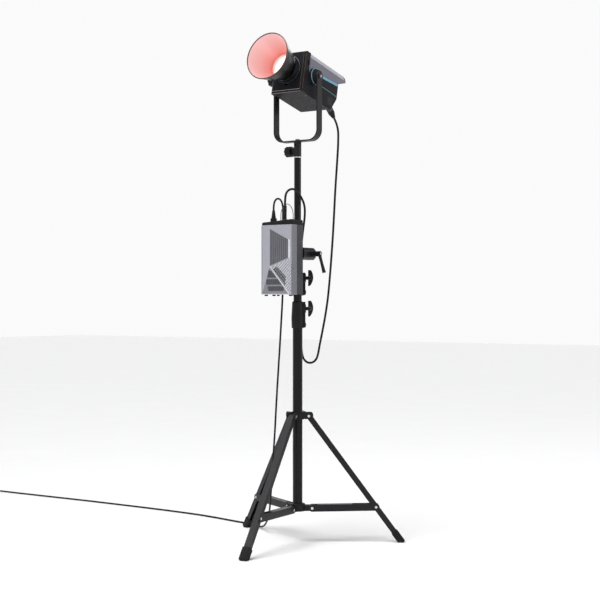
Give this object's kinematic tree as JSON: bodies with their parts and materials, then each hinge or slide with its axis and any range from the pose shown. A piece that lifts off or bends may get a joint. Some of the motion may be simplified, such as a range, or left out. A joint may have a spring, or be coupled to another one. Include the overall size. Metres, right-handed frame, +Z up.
{
  "type": "studio light head on stand",
  "caption": "Continuous spot light head with a bowl reflector on a tilting U yoke, on a folding telescopic stand with a clamped control unit and free-lying cords.",
  "frame": {"origin": "on the floor, under the mast's axis", "axes": "+Z up along the mast; the light points along -Y, tilted 12.7 degrees up at rest; +X is the right-hand side seen from the front of the light looking along +Y"},
  "size_m": [2.2712, 0.6743, 1.8057],
  "materials": {
    "black_powder_coat": "satin powder coat",
    "black_plastic": "fine moulded texture",
    "silver_cover": "satin metallic paint",
    "blue_accent": "satin",
    "rubber": "matt",
    "bright_steel": "polished",
    "reflector_metal": "spun",
    "black_aluminium": "anodised",
    "lens_glass": "clear",
    "display_glass": "gloss",
    "circuit_board": "lacquered",
    "cable_jacket": "matt"
  },
  "bodies": {
    "stand_base": {"lower_tube": "black_powder_coat", "spreader_hub": "black_plastic", "hub_pins": "bright_steel", "lower_clamp": "black_plastic", "mains_cord": "cable_jacket", "mains_coil": "cable_jacket", "mains_plug": "black_plastic"},
    "leg_collar": {"leg_collar": "black_plastic", "leg_pins": "bright_steel"},
    "leg_collar_knob": {"leg_collar_knob": "black_plastic"},
    "leg_1": {"leg_1": "black_powder_coat", "foot_1": "rubber"},
    "leg_2": {"leg_2": "black_powder_coat", "foot_2": "rubber"},
    "leg_3": {"leg_3": "black_powder_coat", "foot_3": "rubber"},
    "spreader_arm_1": {"spreader_arm_1": "black_powder_coat"},
    "spreader_arm_2": {"spreader_arm_2": "black_powder_coat"},
    "spreader_arm_3": {"spreader_arm_3": "black_powder_coat"},
    "lower_clamp_knob": {"lower_clamp_knob": "black_plastic"},
    "mid_section": {"mid_tube": "black_powder_coat", "upper_clamp": "black_plastic"},
    "upper_clamp_knob": {"upper_clamp_knob": "black_plastic"},
    "top_section": {"top_tube": "black_powder_coat", "spigot": "bright_steel", "unit_front_cover": "silver_cover", "unit_rear_shell": "black_powder_coat", "unit_top_cap": "black_plastic", "unit_board": "circuit_board", "clamp_body": "black_powder_coat", "unit_plug": "black_plastic", "mains_connector": "black_plastic", "head_cable_lower": "cable_jacket"},
    "clamp_jaw": {"clamp_jaw": "black_powder_coat"},
    "clamp_lever": {"clamp_lever": "black_plastic"},
    "yoke": {"yoke_receiver": "black_powder_coat", "yoke_bracket": "black_powder_coat", "yoke_bolts": "bright_steel", "head_cable_upper": "cable_jacket"},
    "receiver_knob": {"receiver_knob": "black_plastic"},
    "tilt_knob": {"tilt_knob": "black_plastic"},
    "head": {"lower_shell": "black_plastic", "top_cover": "silver_cover", "front_bezel": "black_plastic", "side_bosses": "black_plastic", "bayonet_ring": "black_powder_coat", "led_board": "circuit_board", "led_lens": "lens_glass", "heat_sink": "black_aluminium", "fan_frame": "black_plastic", "driver_board": "circuit_board", "rear_panel": "black_plastic", "display": "display_glass", "head_plug": "black_plastic"},
    "reflector": {"reflector": "reflector_metal"},
    "bayonet_release": {"bayonet_release": "black_plastic"},
    "dial": {"dial": "black_plastic"},
    "menu_button": {"menu_button": "black_plastic"},
    "power_button": {"power_button": "black_plastic"},
    "fan_rotor": {"fan_rotor": "black_plastic"}
  },
  "joints": [
    {"name": "leg_collar_slide", "type": "slide", "parent": "stand_base", "child": "leg_collar", "axis": [0, 0, 1], "range_m": [0, 0.3]},
    {"name": "leg_collar_knob_turn", "type": "hinge", "parent": "leg_collar", "child": "leg_collar_knob", "pos_m": [-0.0027, 0.03088, 0.4575], "axis": [-0.0872, 0.9962, 0], "range_deg": [0, 360]},
    {"name": "leg_1_hinge", "type": "hinge", "parent": "leg_collar", "child": "leg_1", "pos_m": [0.03277, 0.02294, 0.4565], "axis": [-0.5736, 0.8192, 0], "range_deg": [0, 29.3]},
    {"name": "spreader_arm_1_hinge", "type": "hinge", "parent": "stand_base", "child": "spreader_arm_1", "pos_m": [0.0426, 0.02983, 0.125], "axis": [0.5736, -0.8192, 0], "range_deg": [0, 79.6]},
    {"name": "leg_2_hinge", "type": "hinge", "parent": "leg_collar", "child": "leg_2", "pos_m": [-0.03625, 0.0169, 0.4565], "axis": [-0.4226, -0.9063, 0], "range_deg": [0, 29.3]},
    {"name": "spreader_arm_2_hinge", "type": "hinge", "parent": "stand_base", "child": "spreader_arm_2", "pos_m": [-0.04713, 0.02198, 0.125], "axis": [0.4226, 0.9063, 0], "range_deg": [0, 79.6]},
    {"name": "leg_3_hinge", "type": "hinge", "parent": "leg_collar", "child": "leg_3", "pos_m": [0.00349, -0.03985, 0.4565], "axis": [0.9962, 0.0872, 0], "range_deg": [0, 29.3]},
    {"name": "spreader_arm_3_hinge", "type": "hinge", "parent": "stand_base", "child": "spreader_arm_3", "pos_m": [0.00453, -0.0518, 0.125], "axis": [-0.9962, -0.0872, 0], "range_deg": [0, 79.6]},
    {"name": "lower_clamp_knob_turn", "type": "hinge", "parent": "stand_base", "child": "lower_clamp_knob", "pos_m": [0.02598, 0.015, 0.842], "axis": [0.866, 0.5, 0], "range_deg": [0, 360]},
    {"name": "mast_slide", "type": "slide", "parent": "stand_base", "child": "top_section", "axis": [0, 0, 1], "range_m": [-0.028, 0.64], "deforming": ["mains_cord"]},
    {"name": "mid_slide", "type": "slide", "parent": "stand_base", "child": "mid_section", "axis": [0, 0, 1], "range_m": [-0.0197, 0.4481]},
    {"name": "upper_clamp_knob_turn", "type": "hinge", "parent": "mid_section", "child": "upper_clamp_knob", "pos_m": [0.02598, 0.015, 0.952], "axis": [0.866, 0.5, 0], "range_deg": [0, 360]},
    {"name": "clamp_jaw_slide", "type": "slide", "parent": "top_section", "child": "clamp_jaw", "axis": [1, 0, 0], "range_m": [0, 0.005]},
    {"name": "clamp_lever_turn", "type": "hinge", "parent": "clamp_jaw", "child": "clamp_lever", "pos_m": [0.09, 0, 1.0375], "axis": [1, 0, 0], "range_deg": [0, 1441]},
    {"name": "receiver_knob_turn", "type": "hinge", "parent": "yoke", "child": "receiver_knob", "pos_m": [-0.019, 0, 1.408], "axis": [-1, 0, 0], "range_deg": [0, 360]},
    {"name": "yoke_pan", "type": "hinge", "parent": "top_section", "child": "yoke", "pos_m": [0, 0, 1.408], "axis": [0, 0, 1], "range_deg": [-90, 90], "deforming": ["head_cable_upper", "head_cable_lower"]},
    {"name": "head_tilt", "type": "hinge", "parent": "yoke", "child": "head", "pos_m": [0, 0, 1.67], "axis": [-1, 0, 0], "range_deg": [-75, 40], "deforming": ["head_cable_upper"]},
    {"name": "tilt_knob_turn", "type": "hinge", "parent": "yoke", "child": "tilt_knob", "pos_m": [-0.0954, 0, 1.67], "axis": [-1, 0, 0], "range_deg": [0, 360]},
    {"name": "reflector_twist", "type": "hinge", "parent": "head", "child": "reflector", "pos_m": [0, -0.08582, 1.69857], "axis": [0, -0.9755, 0.2198], "range_deg": [0, 20]},
    {"name": "bayonet_release_slide", "type": "slide", "parent": "head", "child": "bayonet_release", "axis": [0, -0.2198, -0.9755], "range_m": [0, 0.005], "stiffness_N_per_m": 200, "springref_m": -0.002},
    {"name": "dial_turn", "type": "hinge", "parent": "head", "child": "dial", "pos_m": [0.034, 0.16848, 1.64433], "axis": [0, 0.9755, -0.2198], "continuous": true},
    {"name": "menu_button_press", "type": "slide", "parent": "head", "child": "menu_button", "axis": [0, -0.9755, 0.2198], "range_m": [0, 0.0012], "stiffness_N_per_m": 400, "springref_m": -0.001},
    {"name": "power_button_press", "type": "slide", "parent": "head", "child": "power_button", "axis": [0, -0.9755, 0.2198], "range_m": [0, 0.0012], "stiffness_N_per_m": 400, "springref_m": -0.001},
    {"name": "fan_spin", "type": "hinge", "parent": "head", "child": "fan_rotor", "pos_m": [0, 0.041, 1.66999], "axis": [0, 0.9755, -0.2198], "continuous": true}
  ],
  "couplings": [
    {"joint": "leg_1_hinge", "follows": "leg_collar_slide", "rad_per_m": 1.6985},
    {"joint": "leg_2_hinge", "follows": "leg_collar_slide", "rad_per_m": 1.6985},
    {"joint": "leg_3_hinge", "follows": "leg_collar_slide", "rad_per_m": 1.6985},
    {"joint": "spreader_arm_1_hinge", "follows": "leg_collar_slide", "rad_per_m": 4.6245},
    {"joint": "spreader_arm_2_hinge", "follows": "leg_collar_slide", "rad_per_m": 4.6245},
    {"joint": "spreader_arm_3_hinge", "follows": "leg_collar_slide", "rad_per_m": 4.6245},
    {"joint": "mid_slide", "follows": "mast_slide", "ratio": 0.7},
    {"joint": "clamp_lever_turn", "follows": "clamp_jaw_slide", "rad_per_m": 5026.5}
  ]
}
